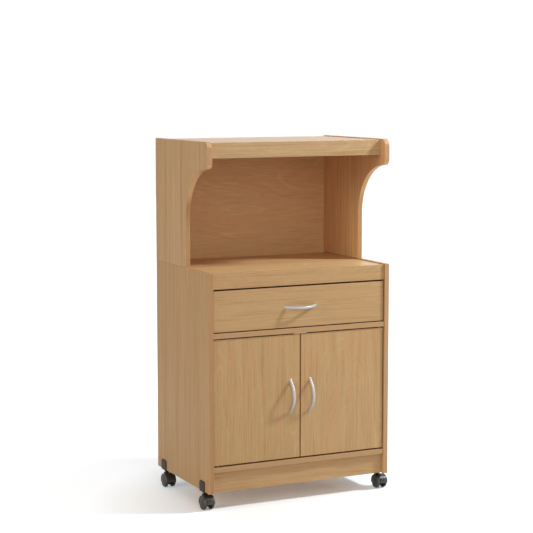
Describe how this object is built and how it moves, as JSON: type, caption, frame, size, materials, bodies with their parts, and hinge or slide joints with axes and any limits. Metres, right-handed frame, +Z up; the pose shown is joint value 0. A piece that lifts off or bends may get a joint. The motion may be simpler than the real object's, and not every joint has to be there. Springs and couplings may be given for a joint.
{
  "type": "microwave stand with drawer",
  "caption": "Beech-look microwave stand on casters: open bay under a shaped hutch, one drawer and a two-door cupboard with bow handles.",
  "frame": {"origin": "centre of the bounding box on the floor, under the wheels", "axes": "+X to the right seen from the front, +Y to the back, +Z up"},
  "size_m": [0.6334, 0.4306, 1.099],
  "materials": {
    "laminate": "satin beech-look laminate",
    "back_panel": "printed beech-look hardboard",
    "drawer_board": "satin foil on board",
    "handle_metal": "satin",
    "caster_plastic": "moulded dark grey",
    "bracket_metal": "dark grey enamel",
    "steel": "zinc plated",
    "nylon": "moulded off-white",
    "bush_plastic": "moulded brown",
    "catch_plastic": "moulded light grey"
  },
  "bodies": {
    "cabinet": {"adjustable_shelf": "laminate", "apron": "laminate", "base_back": "back_panel", "base_side_left": "laminate", "base_side_right": "laminate", "board_connectors": "steel", "bottom_panel": "laminate", "cabinet_screws": "steel", "caster_bracket_front_left": "bracket_metal", "caster_bracket_front_right": "bracket_metal", "caster_bracket_rear_left": "bracket_metal", "caster_bracket_rear_right": "bracket_metal", "divider_shelf": "laminate", "drawer_runner_left": "nylon", "drawer_runner_right": "nylon", "fascia": "laminate", "hutch_back": "back_panel", "hutch_side_left": "laminate", "hutch_side_right": "laminate", "hutch_top": "laminate", "kick_plate": "laminate", "magnetic_catch": "catch_plastic", "pivot_bushes": "bush_plastic", "shelf_pins": "steel", "worktop": "laminate"},
    "drawer": {"drawer_back": "drawer_board", "drawer_bottom": "drawer_board", "drawer_fittings": "steel", "drawer_front": "laminate", "drawer_handle": "handle_metal", "drawer_side_left": "drawer_board", "drawer_side_right": "drawer_board"},
    "left_door": {"door_handle_left": "handle_metal", "door_left": "laminate", "door_pivots_left": "steel", "door_screws_left": "steel", "door_strike_left": "steel"},
    "right_door": {"door_handle_right": "handle_metal", "door_pivots_right": "steel", "door_right": "laminate", "door_screws_right": "steel", "door_strike_right": "steel"},
    "swivel_front_left": {"caster_axle_front_left": "steel", "caster_body_front_left": "caster_plastic"},
    "wheel_a_front_left": {"caster_wheel_a_front_left": "caster_plastic"},
    "wheel_b_front_left": {"caster_wheel_b_front_left": "caster_plastic"},
    "swivel_front_right": {"caster_axle_front_right": "steel", "caster_body_front_right": "caster_plastic"},
    "wheel_a_front_right": {"caster_wheel_a_front_right": "caster_plastic"},
    "wheel_b_front_right": {"caster_wheel_b_front_right": "caster_plastic"},
    "swivel_rear_left": {"caster_axle_rear_left": "steel", "caster_body_rear_left": "caster_plastic"},
    "wheel_a_rear_left": {"caster_wheel_a_rear_left": "caster_plastic"},
    "wheel_b_rear_left": {"caster_wheel_b_rear_left": "caster_plastic"},
    "swivel_rear_right": {"caster_axle_rear_right": "steel", "caster_body_rear_right": "caster_plastic"},
    "wheel_a_rear_right": {"caster_wheel_a_rear_right": "caster_plastic"},
    "wheel_b_rear_right": {"caster_wheel_b_rear_right": "caster_plastic"},
    "brake_front_left": {"brake_lever_front_left": "caster_plastic"},
    "brake_front_right": {"brake_lever_front_right": "caster_plastic"}
  },
  "joints": [
    {"name": "drawer_slide", "type": "slide", "parent": "cabinet", "child": "drawer", "axis": [0, -1, 0], "range_m": [0, 0.26]},
    {"name": "left_door_hinge", "type": "hinge", "parent": "cabinet", "child": "left_door", "pos_m": [-0.275, -0.17725, 0.3264], "axis": [0, 0, -1], "range_deg": [0, 110]},
    {"name": "right_door_hinge", "type": "hinge", "parent": "cabinet", "child": "right_door", "pos_m": [0.275, -0.17725, 0.3264], "axis": [0, 0, 1], "range_deg": [0, 110]},
    {"name": "swivel_turn_front_left", "type": "hinge", "parent": "cabinet", "child": "swivel_front_left", "pos_m": [-0.2975, -0.13775, 0.04405], "axis": [0, 0, 1], "continuous": true},
    {"name": "wheel_a_spin_front_left", "type": "hinge", "parent": "swivel_front_left", "child": "wheel_a_front_left", "pos_m": [-0.2975, -0.15275, 0.02065], "axis": [1, 0, 0], "continuous": true},
    {"name": "wheel_b_spin_front_left", "type": "hinge", "parent": "swivel_front_left", "child": "wheel_b_front_left", "pos_m": [-0.2975, -0.15275, 0.02065], "axis": [1, 0, 0], "continuous": true},
    {"name": "swivel_turn_front_right", "type": "hinge", "parent": "cabinet", "child": "swivel_front_right", "pos_m": [0.2975, -0.13775, 0.04405], "axis": [0, 0, 1], "continuous": true},
    {"name": "wheel_a_spin_front_right", "type": "hinge", "parent": "swivel_front_right", "child": "wheel_a_front_right", "pos_m": [0.2975, -0.15275, 0.02065], "axis": [1, 0, 0], "continuous": true},
    {"name": "wheel_b_spin_front_right", "type": "hinge", "parent": "swivel_front_right", "child": "wheel_b_front_right", "pos_m": [0.2975, -0.15275, 0.02065], "axis": [1, 0, 0], "continuous": true},
    {"name": "swivel_turn_rear_left", "type": "hinge", "parent": "cabinet", "child": "swivel_rear_left", "pos_m": [-0.2975, 0.16225, 0.04405], "axis": [0, 0, 1], "continuous": true},
    {"name": "wheel_a_spin_rear_left", "type": "hinge", "parent": "swivel_rear_left", "child": "wheel_a_rear_left", "pos_m": [-0.2975, 0.14725, 0.02065], "axis": [1, 0, 0], "continuous": true},
    {"name": "wheel_b_spin_rear_left", "type": "hinge", "parent": "swivel_rear_left", "child": "wheel_b_rear_left", "pos_m": [-0.2975, 0.14725, 0.02065], "axis": [1, 0, 0], "continuous": true},
    {"name": "swivel_turn_rear_right", "type": "hinge", "parent": "cabinet", "child": "swivel_rear_right", "pos_m": [0.2975, 0.16225, 0.04405], "axis": [0, 0, 1], "continuous": true},
    {"name": "wheel_a_spin_rear_right", "type": "hinge", "parent": "swivel_rear_right", "child": "wheel_a_rear_right", "pos_m": [0.2975, 0.14725, 0.02065], "axis": [1, 0, 0], "continuous": true},
    {"name": "wheel_b_spin_rear_right", "type": "hinge", "parent": "swivel_rear_right", "child": "wheel_b_rear_right", "pos_m": [0.2975, 0.14725, 0.02065], "axis": [1, 0, 0], "continuous": true},
    {"name": "brake_press_front_left", "type": "hinge", "parent": "swivel_front_left", "child": "brake_front_left", "pos_m": [-0.2975, -0.16835, 0.02665], "axis": [1, 0, 0], "range_deg": [0, 12]},
    {"name": "brake_press_front_right", "type": "hinge", "parent": "swivel_front_right", "child": "brake_front_right", "pos_m": [0.2975, -0.16835, 0.02665], "axis": [1, 0, 0], "range_deg": [0, 12]}
  ]
}
